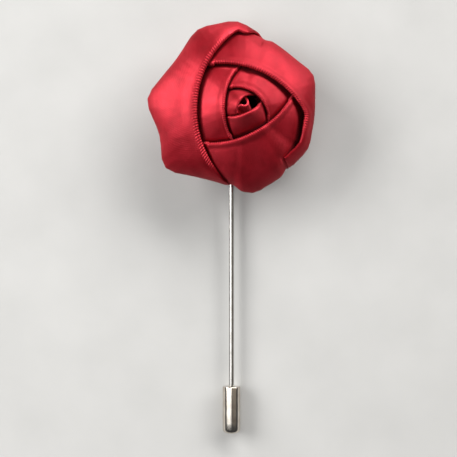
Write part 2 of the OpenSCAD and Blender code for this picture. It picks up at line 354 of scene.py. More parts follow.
def top_h(k, r, facts):
    """Height of petal k's outer face at the radii r, between the bud and the widest line."""
    rim, rim_at = facts.rim, facts.rim_at
    dips = (c * ease(1 - (at + DIP_PAST - r) / DIP_RUN) for c, at in facts.hidden)
    under = sum(dips, np.zeros_like(r))
    rise = np.exp(-(r / RISE_SPREAD) ** 2)
    drop = LAYER * under * (1 + DIP_MORE * np.exp(-(r / DIP_SPREAD) ** 2))
    roll = facts.full * roll_form(k, r - facts.lip) * (1 - np.clip(under, 0, 1))
    wide = rim + facts.more * (1 - (r / rim) ** ROUND_POWER)
    dome = np.sqrt(np.maximum(0, 1 - (r / wide) ** 2))
    lift = (SHOULDER_DROP * rise + roll) * np.minimum(1, RIM_FADE * dome)
    return rim_at + (SHOULDER_H - drop - rim_at) * dome + lift


def form_point(k, s, facts):
    """Radius and height of petal k's outer face at the places s: 0 bud, 1 widest line, 2 foot."""
    under = np.clip(s - 1, 0, 1)
    over_r = facts.rim * np.sin(np.pi / 2 * np.minimum(s, 1))
    under_r = facts.foot_r + (facts.rim - facts.foot_r) * (1 - under ** BOWL)
    r = np.where(s < 1, over_r, under_r)
    top = top_h(k, np.minimum(r, facts.rim), facts)
    return np.stack([r, np.where(s < 1, top, mix(facts.rim_at, facts.foot_at, under))], axis=1)


print("highest roll of a lip:", max(lip.roll for lip in LIPS.values()), "mm")

# %% [markdown]
# Cloth is never quite even. The satin billows a little between bud and foot, has fine wrinkles all
# over and is gathered into pleats towards the felt. These are slow and fast noise, built into the
# points, so they show in the outline and in the shadows.

# %% Billows, wrinkles and pleats
# Height in mm, degrees to a step of noise, steps from bud to widest line, and the noise's seed.
Waves = namedtuple("Waves", "height turn steps seed")
BILLOWS = Waves(0.09, 17, 2.1, 0)
WRINKLES = Waves(0.015, 9, 3.0, 20)
PLEATS = Waves(0.42, 3.1, 0.5, 40)
BILLOWS_FROM = 0.15
BILLOWS_TO = 1.7
BILLOWS_IN = 0.3
BILLOWS_OUT = 0.4
PLEATS_FROM = 1.12
PLEATS_IN = 0.6
SEED_STEP = 7.3


def soft_noise(x, y, seed):
    return noise.noise(Vector((x, y, SEED_STEP * seed)))


def waves_at(waves, k, a, s):
    return waves.height * soft_noise(a / waves.turn, s * waves.steps, k + waves.seed)


def detail(k, a, s):
    """How far the ribbon stands out of its plain form at the angle a and the place s."""
    spread = ease((s - BILLOWS_FROM) / BILLOWS_IN) * ease((BILLOWS_TO - s) / BILLOWS_OUT)
    gather = ease((s - PLEATS_FROM) / PLEATS_IN)
    billow = waves_at(BILLOWS, k, a, s) * spread
    return billow + waves_at(WRINKLES, k, a, s) + waves_at(PLEATS, k, a, s) * gather


print("pleats stand out by up to", PLEATS.height, "mm")

# %% [markdown]
# One column of ribbon runs from a hidden hem, round the fold of the lip, over the roll and down to
# the gathered foot. It is drawn in the plane of its angle, as a line of points that lies in the
# middle of the ribbon's thickness.

# %% One column of ribbon
# Thickness of the ribbon, radius of a fold pressed flat, width of the hem, and the rows of each part.
# Rows of the face are closer together near the lip.
RIBBON = 0.30
FLAT_FOLD = 0.17
HEM = 2.0
HEM_ROWS = 5
FOLD_ROWS = 10
FACE_ROWS = 58
FACE_BIAS = 1.5


def normals_of(line):
    step = np.gradient(line, axis=0)
    step /= np.linalg.norm(step, axis=1)[:, None]
    return np.stack([-step[:, 1], step[:, 0]], axis=1)


def run_of(line):
    """Distance along a line of points, from its first point to each one."""
    return np.concatenate([[0], np.cumsum(np.linalg.norm(np.diff(line, axis=0), axis=1))])


def at_run(places, run, values):
    """The values, a row for each point of a line, read off at other distances along it."""
    return np.stack([np.interp(places, run, column) for column in values.T], axis=1)


def start_of(k, a, facts, radius):
    """The place where petal k's face begins, beside its fold or sunk at an end that shows."""
    start = math.asin(min(1, (facts.lip + radius) / facts.rim)) * 2 / math.pi
    end = end_of(k, a)
    if end.sink:
        start = mix(start, end.sink, ease(1 - inside(k, a) / end.turn))
    return start


def fold_of(face, middle, out, radius):
    """The half circle from the hem up to the face, and its outward directions."""
    inward = face[0] - face[1]
    inward /= np.linalg.norm(inward)
    centre = middle[0] - out[0] * radius
    turns = np.linspace(math.pi, 0, FOLD_ROWS + 1)[:-1]
    away = np.array([out[0] * math.cos(t) + inward * math.sin(t) for t in turns])
    return centre + radius * away, away


def hem_of(middle, out, radius):
    """The ribbon's edge, run back under the face, and its outward directions."""
    run = run_of(middle)
    back = np.linspace(HEM, 0, HEM_ROWS + 1)[:-1]
    away = at_run(back, run, out)
    return at_run(back, run, middle) - away * 2 * radius, -away


def column(k, a):
    """Points in the plane of the angle a: hem, fold and face, and each point's outward direction."""
    facts = petal_facts(k, a)
    radius = mix(FLAT_FOLD, LIPS[k].fold, facts.full)
    start = start_of(k, a, facts, radius)
    s = mix(start, 2, np.linspace(0, 1, FACE_ROWS) ** FACE_BIAS)
    face = form_point(k, s, facts)
    out = normals_of(face)
    face = face + out * np.array([detail(k, a, v) for v in s])[:, None]
    middle = face - out * RIBBON / 2
    fold, fold_out = fold_of(face, middle, out, radius)
    hem, hem_out = hem_of(middle, out, radius)
    return np.concatenate([hem, fold, middle]), np.concatenate([hem_out, fold_out, out])


line, out = column(LAST, 180)
print("column:", len(line), "rows,", round(float(run_of(line)[-1]), 1), "mm of ribbon")

# %% [markdown]
# The columns are joined to a thin closed wall. A UV map follows the ribbon in centimetres: U runs
# along it and V across it, so that weave and gloss turn with the folds.

# %% Ribbon walls
UV_MM = 10.0


def add_object(name, mesh):
    obj = bpy.data.objects.new(name, mesh)
    bpy.context.scene.collection.objects.link(obj)
    return obj


def outward(mesh):
    bm = bmesh.new()
    bm.from_mesh(mesh)
    bmesh.ops.recalc_face_normals(bm, faces=bm.faces)
    bm.to_mesh(mesh)
    bm.free()


def mesh_from(name, points, faces):
    """A smooth closed mesh of points given in mm, with its faces turned outward."""
    mesh = bpy.data.meshes.new(name)
    mesh.from_pydata((np.array(points) * MM).tolist(), [], faces)
    outward(mesh)
    mesh.shade_smooth()
    return mesh


def wall_faces(columns, rows):
    """Faces round both sides of a wall, and the strips that close its first and last column."""
    count = 2 * rows
    faces = []
    for c in range(columns - 1):
        for j in range(count):
            q = (j + 1) % count
            faces.append((c * count + j, c * count + q, (c + 1) * count + q, (c + 1) * count + j))
    for base in (0, (columns - 1) * count):
        for j in range(rows - 1):
            faces.append((base + j, base + j + 1, base + count - 2 - j, base + count - 1 - j))
    return faces


def ribbon_wall(name, middle, out, thickness):
    """A closed wall round a grid of points: middle and out are arrays of columns by rows by 3, in mm."""
    columns, rows = middle.shape[:2]
    half = out * thickness / 2
    ring = np.concatenate([middle + half, (middle - half)[:, ::-1]], axis=1)
    mesh = mesh_from(name, ring.reshape(-1, 3), wall_faces(columns, rows))
    across = np.linalg.norm(np.diff(middle, axis=1), axis=2).mean(axis=0)
    along = np.linalg.norm(np.diff(middle, axis=0), axis=2).mean(axis=1)
    v = np.concatenate([[0], np.cumsum(across)])
    v = np.concatenate([v, v[::-1]])
    u = np.concatenate([[0], np.cumsum(along)])
    corner = np.empty(len(mesh.loops), int)
    mesh.loops.foreach_get("vertex_index", corner)
    uv = np.stack([u[corner // (2 * rows)], v[corner % (2 * rows)]], axis=1) / UV_MM
    mesh.uv_layers.new(name="ribbon").data.foreach_set("uv", uv.ravel())
    flat = (float(v.max()) * MM, float(u.max()) * MM)
    return add_object(name, mesh), flat


print("UV map: one unit is", UV_MM, "mm of ribbon")

# %% [markdown]
# Seven petals come from one function. Each gets a column for about every degree, and is turned from
# its own plane into the rose's space round the bud.

# %% Petals
COLUMN_TURN = 1.0


def petal_grid(k):
    p = PETALS[k]
    angles = np.linspace(p.first, p.last, round((p.last - p.first) / COLUMN_TURN) + 1)
    middle, out = [], []
    for a in angles:
        line, away = column(k, float(a))
        middle.append(np.column_stack([BUD_AT + line[:, :1] * way(a), line[:, 1]]))
        out.append(np.column_stack([away[:, :1] * way(a), away[:, 1]]))
    return np.array(middle), np.array(out)


satin_petals = {}
petal_grids = {}
petal_flats = {}
for k in PETALS:
    petal_grids[k] = petal_grid(k)
    satin_petals[k], petal_flats[k] = ribbon_wall("satin_petal_%d" % k, *petal_grids[k], RIBBON)
    print(satin_petals[k].name, len(satin_petals[k].data.polygons), "faces")

# %% [markdown]
# The heart of the rose is the end of the ribbon, rolled to an S. Its top edge stands highest in the
# middle, and below the edge the wall leans to one side, as rolled cloth does. The same wall function
# thickens it, round a line that winds from the middle both ways.

# %% Bud
BUD_RIBBON = 0.42
BUD_COLUMNS = 121
BUD_ROWS = 40
BUD_BIAS = 0.7
SOFT_EDGE = 0.4
BEVEL_STEPS = 3

# The S: its direction in the middle, how open that is, degrees to a mm past it, and half its length.
BUD_TURN = 4.0
BUD_OPEN = 1.6
BUD_RATE = 180 / 2.2
BUD_REACH = 3.4

# The wall leans by FLAP, which it reaches FLAP_DROP below the edge, and the edge itself curls over.
FLAP = 1.8
FLAP_DROP = 4.0
FLAP_TURN = -50.0
CURL = 0.35
CURL_DROP = 3.0

# Height of the bud's edge at distances from its middle, along the ribbon.
EDGE_AT = (0, 0.9, 1.5, 2.2, 3.0, 3.4)
EDGE_H = (21.7, 21.3, 20.4, 18.4, 15.5, 12.5)


def bud_grid():
    s = np.linspace(-BUD_REACH, BUD_REACH, BUD_COLUMNS)
    turn = np.radians(BUD_TURN + BUD_RATE * s * s / (np.abs(s) + BUD_OPEN))
    line = np.stack([s * np.cos(turn), s * np.sin(turn)], axis=1)
    tops = np.interp(np.abs(s), EDGE_AT, EDGE_H)
    rows = np.linspace(0, 1, BUD_ROWS) ** BUD_BIAS
    middle, out = [], []
    for point, side, top, at in zip(line, normals_of(line), tops, s):
        z = BASE_H + (top - BASE_H) * rows
        flap = FLAP * (1 - (at / BUD_REACH) ** 2) * ease((top - z) / FLAP_DROP)
        curl = CURL * ease((z - top + CURL_DROP) / CURL_DROP) * np.clip(at, -1, 1)
        flat = BUD_AT + (point - side * curl[:, None]) + flap[:, None] * way(FLAP_TURN)
        middle.append(np.column_stack([flat, z]))
        out.append(np.tile([*side, 0.0], (BUD_ROWS, 1)))
    return np.array(middle), np.array(out)


satin_bud, bud_flat = ribbon_wall("satin_bud", *bud_grid(), BUD_RIBBON)
bevel = satin_bud.modifiers.new("soft edge", "BEVEL")
bevel.width = SOFT_EDGE * BUD_RIBBON * MM
bevel.segments = BEVEL_STEPS
bevel.limit_method = "ANGLE"
print(satin_bud.name, "ribbon", [round(x / MM, 1) for x in bud_flat], "mm")

# %% [markdown]
# Fine ribs cross the ribbon's folded edge, where the selvedge threads pull the satin together. They
# repeat along the whole lip, which is work for Geometry Nodes: the tree is given a few rails that
# follow the lip, lays one short thread across them at each step, and tapers it so that it melts
# into the satin.

# %% Rib tree
RIB_SIDES = 8
RIB_SEED = 11

# Shares: least and greatest thickness of a thread, where along it the taper starts, and its tip.
RIB_THICK = (0.75, 1.15)
RIB_TAPER_FROM = 0.6
RIB_TIP = 0.12
RIB_INPUTS = {
    "Pitch": "NodeSocketFloat", "Thread radius": "NodeSocketFloat", "Rails": "NodeSocketInt",
    "Sides": "NodeSocketInt", "Seed": "NodeSocketInt", "Material": "NodeSocketMaterial"}


def add_node(tree, kind, **settings):
    node = tree.nodes.new(kind)
    for key, value in settings.items():
        setattr(node, key, value)
    return node


def give(node, values):
    """Sets sockets of a node, by name, to constant values."""
    for name, value in values.items():
        node.inputs[name].default_value = value


def rib_count(tree, rails, pitch):
    """The first rail's length over the pitch."""
    length = add_node(tree, "GeometryNodeSplineLength")
    first = add_node(tree, "GeometryNodeSampleIndex", domain="CURVE", data_type="FLOAT")
    tree.links.new(rails, first.inputs["Geometry"])
    tree.links.new(length.outputs["Length"], first.inputs["Value"])
    count = add_node(tree, "ShaderNodeMath", operation="DIVIDE")
    tree.links.new(first.outputs["Value"], count.inputs[0])
    tree.links.new(pitch, count.inputs[1])
    return count.outputs[0]


def thread_scale(tree, along, rib, seed):
    """Each thread's thickness: a little different from rib to rib, and tapered to a thin tip."""
    taper = add_node(tree, "ShaderNodeMapRange", interpolation_type="SMOOTHSTEP")
    tree.links.new(along, taper.inputs["Value"])
    give(taper, {"From Min": RIB_TAPER_FROM, "From Max": 1.0, "To Min": 1.0, "To Max": RIB_TIP})
    vary = add_node(tree, "FunctionNodeRandomValue", data_type="FLOAT")
    vary.inputs["Min"].default_value, vary.inputs["Max"].default_value = RIB_THICK
    tree.links.new(rib, vary.inputs["ID"])
    tree.links.new(seed, vary.inputs["Seed"])
    size = add_node(tree, "ShaderNodeMath", operation="MULTIPLY")
    tree.links.new(taper.outputs["Result"], size.inputs[0])
    tree.links.new([o for o in vary.outputs if o.enabled][0], size.inputs[1])
    return size.outputs[0]


def rib_tree():
    tree = bpy.data.node_groups.new("selvedge ribs", "GeometryNodeTree")
    face = tree.interface
    face.new_socket("Geometry", in_out="INPUT", socket_type="NodeSocketGeometry")
    for name, kind in RIB_INPUTS.items():
        face.new_socket(name, in_out="INPUT", socket_type=kind)
    face.new_socket("Geometry", in_out="OUTPUT", socket_type="NodeSocketGeometry")
    link = tree.links.new
    given = add_node(tree, "NodeGroupInput").outputs
    rails = add_node(tree, "GeometryNodeMeshToCurve")
    link(given["Geometry"], rails.inputs["Mesh"])
    count = rib_count(tree, rails.outputs["Curve"], given["Pitch"])

    # One thread with a point for each rail, and as many copies as there are ribs.
    thread = add_node(tree, "GeometryNodeCurvePrimitiveLine")
    points = add_node(tree, "GeometryNodeResampleCurve")
    link(thread.outputs["Curve"], points.inputs["Curve"])
    link(given["Rails"], points.inputs["Count"])
    copies = add_node(tree, "GeometryNodeDuplicateElements", domain="SPLINE")
    link(points.outputs["Curve"], copies.inputs["Geometry"])
    link(count, copies.inputs["Amount"])

    # Every point moves onto its own rail, as far along as its copy is in the row.
    part = add_node(tree, "ShaderNodeMath", operation="DIVIDE")
    link(copies.outputs["Duplicate Index"], part.inputs[0])
    link(count, part.inputs[1])
    place = add_node(tree, "GeometryNodeSplineParameter")
    onto = add_node(tree, "GeometryNodeSampleCurve", mode="FACTOR")
    link(rails.outputs["Curve"], onto.inputs["Curves"])
    link(part.outputs[0], onto.inputs["Factor"])
    link(place.outputs["Index"], onto.inputs["Curve Index"])
    moved = add_node(tree, "GeometryNodeSetPosition")
    link(copies.outputs["Geometry"], moved.inputs["Geometry"])
    link(onto.outputs["Position"], moved.inputs["Position"])

    # The threads become round, smooth and solid.
    ring = add_node(tree, "GeometryNodeCurvePrimitiveCircle")
    link(given["Sides"], ring.inputs["Resolution"])
    link(given["Thread radius"], ring.inputs["Radius"])
    tube = add_node(tree, "GeometryNodeCurveToMesh")
    link(moved.outputs["Geometry"], tube.inputs["Curve"])
    index = copies.outputs["Duplicate Index"]
    link(thread_scale(tree, place.outputs["Factor"], index, given["Seed"]), tube.inputs["Scale"])
    link(ring.outputs["Curve"], tube.inputs["Profile Curve"])
    give(tube, {"Fill Caps": True})
    smooth = add_node(tree, "GeometryNodeSetShadeSmooth")
    link(tube.outputs["Mesh"], smooth.inputs["Geometry"])
    real = add_node(tree, "GeometryNodeRealizeInstances")
    link(smooth.outputs["Geometry"], real.inputs["Geometry"])
    finish = add_node(tree, "GeometryNodeSetMaterial")
    link(real.outputs["Geometry"], finish.inputs["Geometry"])
    link(given["Material"], finish.inputs["Material"])
    link(finish.outputs["Geometry"], add_node(tree, "NodeGroupOutput").inputs["Geometry"])
    return tree


RIBS = rib_tree()
print("rib tree:", len(RIBS.nodes), "nodes")

# %% [markdown]
# A small helper sets the tree's inputs by the identifiers of their sockets, reads the result off the
# evaluated object as a plain mesh, and takes the modifier away again.

# %% Running a tree


def run_tree(obj, tree, **values):
    modifier = obj.modifiers.new(tree.name, "NODES")
    modifier.node_group = tree
    sockets = {s.name: s.identifier for s in tree.interface.items_tree if s.in_out == "INPUT"}
    for name, value in values.items():
        modifier[sockets[name.replace("_", " ")]] = value
    bpy.context.view_layer.update()
    evaluated = obj.evaluated_get(bpy.context.evaluated_depsgraph_get())
    mesh = bpy.data.meshes.new_from_object(evaluated)
    obj.modifiers.remove(modifier)
    obj.data = mesh
    mesh.name = obj.name
    return obj


print("tree inputs:", ", ".join(RIB_INPUTS))

# %% [markdown]
# Materials come next, because the ribs need one. All of them are built from the same few nodes:
# noise on the object's own coordinates, a ramp of colours, a range of roughness and a bump.

# %% Material helpers
Noise = namedtuple("Noise", "scale detail rough")


def shader(name):
    material = bpy.data.materials.new(name)
    material.use_nodes = True
    tree = material.node_tree
    return material, tree, tree.nodes["Principled BSDF"]


def noise_node(tree, vector, kind):
    node = add_node(tree, "ShaderNodeTexNoise")
    tree.links.new(vector, node.inputs["Vector"])
    give(node, {"Scale": kind.scale, "Detail": kind.detail, "Roughness": kind.rough})
    return node.outputs["Fac"]


def ramp_node(tree, value, stops):
    node = add_node(tree, "ShaderNodeValToRGB")
    tree.links.new(value, node.inputs["Fac"])
    node.color_ramp.elements[0].position, node.color_ramp.elements[0].color = stops[0]
    node.color_ramp.elements[1].position, node.color_ramp.elements[1].color = stops[-1]
    for position, color in stops[1:-1]:
        node.color_ramp.elements.new(position).color = color
    return node.outputs["Color"]


def range_node(tree, value, low, high):
    node = add_node(tree, "ShaderNodeMapRange")
    tree.links.new(value, node.inputs["Value"])
    give(node, {"To Min": low, "To Max": high})
    return node.outputs["Result"]


def bump_node(tree, height, size, strength, normal=None):
    """A bump of that size in mm, on top of another normal if one is given."""
    node = add_node(tree, "ShaderNodeBump")
    tree.links.new(height, node.inputs["Height"])
    give(node, {"Distance": size * MM, "Strength": strength})
    if normal is not None:
        tree.links.new(normal, node.inputs["Normal"])
    return node.outputs["Normal"]


print("material helpers: noise, ramp, range and bump")

# %% [markdown]
# Satin is smooth threads that lie side by side along the ribbon, so its gloss is drawn out across
# them. The shader draws gloss out along the UV map's tangent, which follows the threads, and a
# quarter turn lays it across. Soft noise mottles the dye, and a fine slanting wave stands for the
# weave. A share of metal and a pink tint in the gloss keep the shades deep and the highlights pale.
# The ribs are thread without weave, and the bud's ribbon is woven. Both get lighter tones than the
# petals, a painted highlight on the lips and on the bud.

# %% Satin
TONES_AT = (0.30, 0.50, 0.72)
SATIN_TONES = ((0.22, 0.002, 0.006, 1), (0.28, 0.004, 0.010, 1), (0.34, 0.007, 0.015, 1))
# Painted highlight: lighter copies of the satin tones, for the selvedge ribs and the bud.
PAINTED_HIGHLIGHT_TONES = ((0.34, 0.010, 0.018, 1), (0.42, 0.016, 0.027, 1), (0.50, 0.024, 0.038, 1))
MOTTLE = Noise(260.0, 5.0, 0.6)
MOTTLE_BUMP = (0.25, 0.35)
PATCHES = Noise(420.0, 3.0, 0.5)
SATIN_ROUGH = (0.38, 0.50)
WEAVE = {"Scale": 11.0, "Distortion": 1.2, "Detail": 1.0}
WEAVE_BUMP = (0.02, 0.45)
GLOSS = {"Anisotropic": 0.75, "Anisotropic Rotation": 0.25}
SATIN_LOOK = {
    "Metallic": 0.56, "IOR": 1.9, "Specular Tint": (1.0, 0.34, 0.42, 1),
    "Sheen Weight": 0.04, "Sheen Roughness": 0.4, "Sheen Tint": (1.0, 0.42, 0.47, 1)}


def weave_normal(tree, bsdf):
    """Slanting threads as a bump, and the gloss that is drawn out across them."""
    where = add_node(tree, "ShaderNodeTexCoord")
    wave = add_node(tree, "ShaderNodeTexWave", bands_direction="DIAGONAL")
    tree.links.new(where.outputs["UV"], wave.inputs["Vector"])
    give(wave, WEAVE)
    tangent = add_node(tree, "ShaderNodeTangent", direction_type="UV_MAP", uv_map="ribbon")
    tree.links.new(tangent.outputs["Tangent"], bsdf.inputs["Tangent"])
    give(bsdf, GLOSS)
    return bump_node(tree, wave.outputs["Fac"], *WEAVE_BUMP)


def satin_material(name, tones, woven=True):
    """Satin, woven with a tangent along the ribbon's UV map, or plain thread, which has no such map."""
    material, tree, bsdf = shader(name)
    link = tree.links.new
    where = add_node(tree, "ShaderNodeTexCoord")
    mottle = noise_node(tree, where.outputs["Object"], MOTTLE)
    link(ramp_node(tree, mottle, list(zip(TONES_AT, tones))), bsdf.inputs["Base Color"])
    patches = noise_node(tree, where.outputs["Object"], PATCHES)
    link(range_node(tree, patches, *SATIN_ROUGH), bsdf.inputs["Roughness"])
    weave = weave_normal(tree, bsdf) if woven else None
    link(bump_node(tree, mottle, *MOTTLE_BUMP, weave), bsdf.inputs["Normal"])
    give(bsdf, SATIN_LOOK)
    return material


SATIN = satin_material("satin ribbon", SATIN_TONES)
# The bud and the ribs take the lighter tones, a painted highlight.
BUD_SATIN = satin_material("bud satin", PAINTED_HIGHLIGHT_TONES)
THREAD = satin_material("selvedge thread", PAINTED_HIGHLIGHT_TONES, woven=False)
print("satin materials:", SATIN.name + ",", BUD_SATIN.name, "and", THREAD.name)

# %% [markdown]
# The rails for the ribs are read off the petals' own points, at a few distances from the fold's
# edge. They lie a little below the face, and deeper where the lip is flat, so that the ribs fade
# out towards an end that shows.

# %% Ribs on the lips
RAIL_AT = [-0.25, -0.1, 0.05, 0.2, 0.4, 0.6, 0.8, 1.0]

# Radius of a thread as a share of the pitch, depth of its rail as a share of that radius, on a round
# lip and where the ribs end, and how round a lip has to be to have ribs.
RIB_R = 0.36
RIB_SUNK = 0.32
RIB_GONE = 1.2
RIB_FULL = 0.6


def lip_rails(k):
    """A mesh of loose lines along petal k's lip, each at one share of the selvedge's width."""
    middle, out = petal_grids[k]
    angles = np.linspace(PETALS[k].first, PETALS[k].last, len(middle))
    full = np.array([fullness(k, a) for a in angles])
    sunk = mix(RIB_GONE, RIB_SUNK, ease((full - RIB_FULL) / (1 - RIB_FULL)))
    outer = middle + out * (RIBBON / 2 - RIB_R * LIPS[k].pitch * sunk[:, None, None])
    places = LIPS[k].ribs * np.array(RAIL_AT)
    edge = HEM_ROWS + FOLD_ROWS // 2
    rows = []
    for line in outer[full > RIB_FULL]:
        run = run_of(line)
        rows.append(at_run(places, run - run[edge], line))
    points = np.array(rows).transpose(1, 0, 2)
    rails, columns = points.shape[:2]
    edges = [(r * columns + c, r * columns + c + 1) for r in range(rails) for c in range(columns - 1)]
    mesh = bpy.data.meshes.new("rails")
    mesh.from_pydata((points.reshape(-1, 3) * MM).tolist(), edges, [])
    return mesh


selvedges = {}
for k in PETALS:
    ribs = add_object("selvedge_ribs_%d" % k, lip_rails(k))
    selvedges[k] = run_tree(
        ribs, RIBS, Pitch=LIPS[k].pitch * MM, Thread_radius=RIB_R * LIPS[k].pitch * MM,
        Rails=len(RAIL_AT), Sides=RIB_SIDES, Seed=RIB_SEED + k, Material=THREAD)
    print(ribs.name, len(ribs.data.polygons), "faces")

# %% [markdown]
# The back is a disc of pressed felt, cut by hand, so its edge wanders a little and is fuzzy. It
# lies flat where the brooch rests. Rings of points run from its middle along the underside, up the
# rounded edge and back over the top.

# %% Felt
FELT_R = 11.5
FELT_T = 2.8
FELT_ROUND = 0.35
FELT_SIDES = 180

# The innermost ring's radius, the height of the lowest ring of the side, and how many rings each has.
FELT_MIDDLE = 0.8
FELT_SIDE = 0.9
FLAT_RINGS = 12
EDGE_RINGS = 5
SIDE_RINGS = 4

# The edge's slow wander and fine fuzz: size in mm, steps of noise to a radius, and seed.
WANDER = 0.16
WANDER_STEPS = 3
WANDER_SEED = 60
FUZZ = 0.05
FUZZ_STEPS = 22
FUZZ_SEED = 61


def felt_profile():
    """Radius and height of each ring of the felt, from the underside round to the top."""
    turns = np.linspace(0, math.pi / 2, EDGE_RINGS)
    edge = [(FELT_R - FELT_ROUND * (1 - math.sin(t)), FELT_ROUND * (1 - math.cos(t))) for t in turns]
    flat = np.linspace(FELT_MIDDLE, FELT_R - 2 * FELT_ROUND, FLAT_RINGS)
    profile = [(r, 0.0) for r in flat] + edge
    profile += [(FELT_R, z) for z in np.linspace(FELT_SIDE, FELT_T - FELT_SIDE, SIDE_RINGS)]
    profile += [(r, FELT_T - z) for r, z in reversed(edge)]
    return profile + [(r, FELT_T) for r in reversed(flat)]


def felt_point(r, z, t):
    x, y = math.cos(t), math.sin(t)
    wander = WANDER * soft_noise(WANDER_STEPS * x, WANDER_STEPS * y, WANDER_SEED)
    fuzz = FUZZ * soft_noise(FUZZ_STEPS * x, FUZZ_STEPS * y + z, FUZZ_SEED)
    far = r + (wander + fuzz) * r / FELT_R
    return far * x, far * y, z


def felt_disc():
    profile = felt_profile()
    turns = [2 * math.pi * i / FELT_SIDES for i in range(FELT_SIDES)]
    points = [(0.0, 0.0, 0.0)]
    points += [felt_point(r, z, t) for r, z in profile for t in turns]
    points.append((0.0, 0.0, FELT_T))
    top = 1 + (len(profile) - 1) * FELT_SIDES
    faces = []
    for ring in range(len(profile) - 1):
        a, b = 1 + ring * FELT_SIDES, 1 + (ring + 1) * FELT_SIDES
        for i in range(FELT_SIDES):
            q = (i + 1) % FELT_SIDES
            faces.append((a + i, a + q, b + q, b + i))
    for i in range(FELT_SIDES):
        q = (i + 1) % FELT_SIDES
        faces.append((0, 1 + q, 1 + i))
        faces.append((len(points) - 1, top + i, top + q))
    return add_object("felt_disc", mesh_from("felt", points, faces))


felt = felt_disc()
print(felt.name, len(felt.data.polygons), "faces")

# %% [markdown]
# The pin and its cap are drawn and turned metal, so both are lathe work: a half section is spun
# round the pin's axis. Its places along the pin are measured from the rose's middle. Steps in a
# section are marked sharp, so that the shading doesn't smear across them.

# %% Lathe
AXIS_H = 2.2
LATHE_SIDES = 96
SHARP_TURN = 28


def lathe(name, section):
    """Spins (distance along the pin, radius) pairs round the pin's axis. Ends at radius 0 close."""
    points, faces, rings = [], [], []
    for y, r in section:
        if r <= 0:
            rings.append([len(points)])
            points.append((0.0, -y, AXIS_H))
            continue
        rings.append(list(range(len(points), len(points) + LATHE_SIDES)))
        for i in range(LATHE_SIDES):
            t = 2 * math.pi * i / LATHE_SIDES
            points.append((r * math.cos(t), -y, AXIS_H + r * math.sin(t)))
    for a, b in zip(rings, rings[1:]):
        for i in range(LATHE_SIDES):
            q = (i + 1) % LATHE_SIDES
            corners = [a[i % len(a)], a[q % len(a)], b[q % len(b)], b[i % len(b)]]
            faces.append(tuple(dict.fromkeys(corners)))
    mesh = mesh_from(name, points, faces)
    mesh.set_sharp_from_angle(angle=math.radians(SHARP_TURN))
    return add_object(name, mesh)


def arc(y, r, radius, start, stop, steps):
    """Points on a circle in the section, from angle start to stop, where 0 points outwards."""
    turns = np.radians(np.linspace(start, stop, steps))
    return [(y + radius * math.sin(t), r + radius * math.cos(t)) for t in turns]


print("lathe:", LATHE_SIDES, "sides round an axis", AXIS_H, "mm up")

# %% [markdown]
# The cap's section starts at the bottom of its bore, comes out through a bevelled mouth with a
# rolled edge, and runs along the straight wall to the rounded end.

# %% Cap
CAP_MOUTH = 68.3
CAP_LEN = 11.6
CAP_R = 2.2
CAP_ROUND = 1.1
CAP_BEVEL = 0.3
CAP_BORE = 0.65
CAP_DEPTH = 9.6
MOUTH_ROLL = 0.22
MOUTH_STEPS = 8
WALL_RINGS = (1.0, 3.0, 6.0, 9.0)
ROUND_END_STEPS = 14


def cap_section():
    end = CAP_MOUTH + CAP_LEN
    section = [(CAP_MOUTH + CAP_DEPTH, 0), (CAP_MOUTH + CAP_DEPTH, CAP_BORE)]
    section += [(CAP_MOUTH + CAP_BEVEL, CAP_BORE), (CAP_MOUTH, CAP_BORE + CAP_BEVEL)]
    section += arc(CAP_MOUTH + MOUTH_ROLL, CAP_R - MOUTH_ROLL, MOUTH_ROLL, -90, 0, MOUTH_STEPS)
    section += [(CAP_MOUTH + at, CAP_R) for at in WALL_RINGS]
    section += arc(end - CAP_ROUND, CAP_R - CAP_ROUND, CAP_ROUND, 0, 90, ROUND_END_STEPS)
    return section + [(end, 0)]


metal_cap = lathe("metal_cap", cap_section())
print(metal_cap.name, len(metal_cap.data.polygons), "faces")

# %% [markdown]
# The wire runs from a flattened head, hidden between felt and petals, to a ground point, with a
# groove at the cap's mouth. The glue pad lies beside the head, where it can't be seen either, and
# stays a plain disc of the same metal.

# %% Wire
WIRE_R = 0.6
WIRE_LEN = 76.8
SHANK_RINGS = 24
SHANK_AFTER = 1.0
GROOVE_FROM = 68.1
GROOVE_TO = 69.1
GROOVE_DEPTH = 0.2
GROOVE_EDGE = 0.05
POINT_FROM = 73.8
POINT_EDGE = 0.2
POINT_RINGS = 12
POINT_BOW = 1.25
TIP_R = 0.08
HEAD_END = 12.4
HEAD_W = 1.6
HEAD_T = 0.9
HEAD_ROUND = 0.22
NECK = 1.2
NECK_R = 0.7 * HEAD_T / 2
PAD_R = 6.5
PAD_T = 0.8
PAD_LOW = 2.0


def wire_section():
    floor_r = WIRE_R - GROOVE_DEPTH
    shank = np.linspace(HEAD_END + SHANK_AFTER, GROOVE_FROM - GROOVE_EDGE, SHANK_RINGS)
    section = [(HEAD_END - NECK, 0), (HEAD_END - NECK, NECK_R), (HEAD_END, WIRE_R)]
    section += [(y, WIRE_R) for y in shank]
    section += [(GROOVE_FROM, floor_r), (GROOVE_TO, floor_r), (GROOVE_TO + GROOVE_EDGE, WIRE_R)]
    section += [(POINT_FROM - POINT_EDGE, WIRE_R)]
    for t in np.linspace(0, 1, POINT_RINGS):
        section.append((mix(POINT_FROM, WIRE_LEN - TIP_R, t), mix(WIRE_R, TIP_R, t ** POINT_BOW)))
    return section + [(WIRE_LEN, 0)]


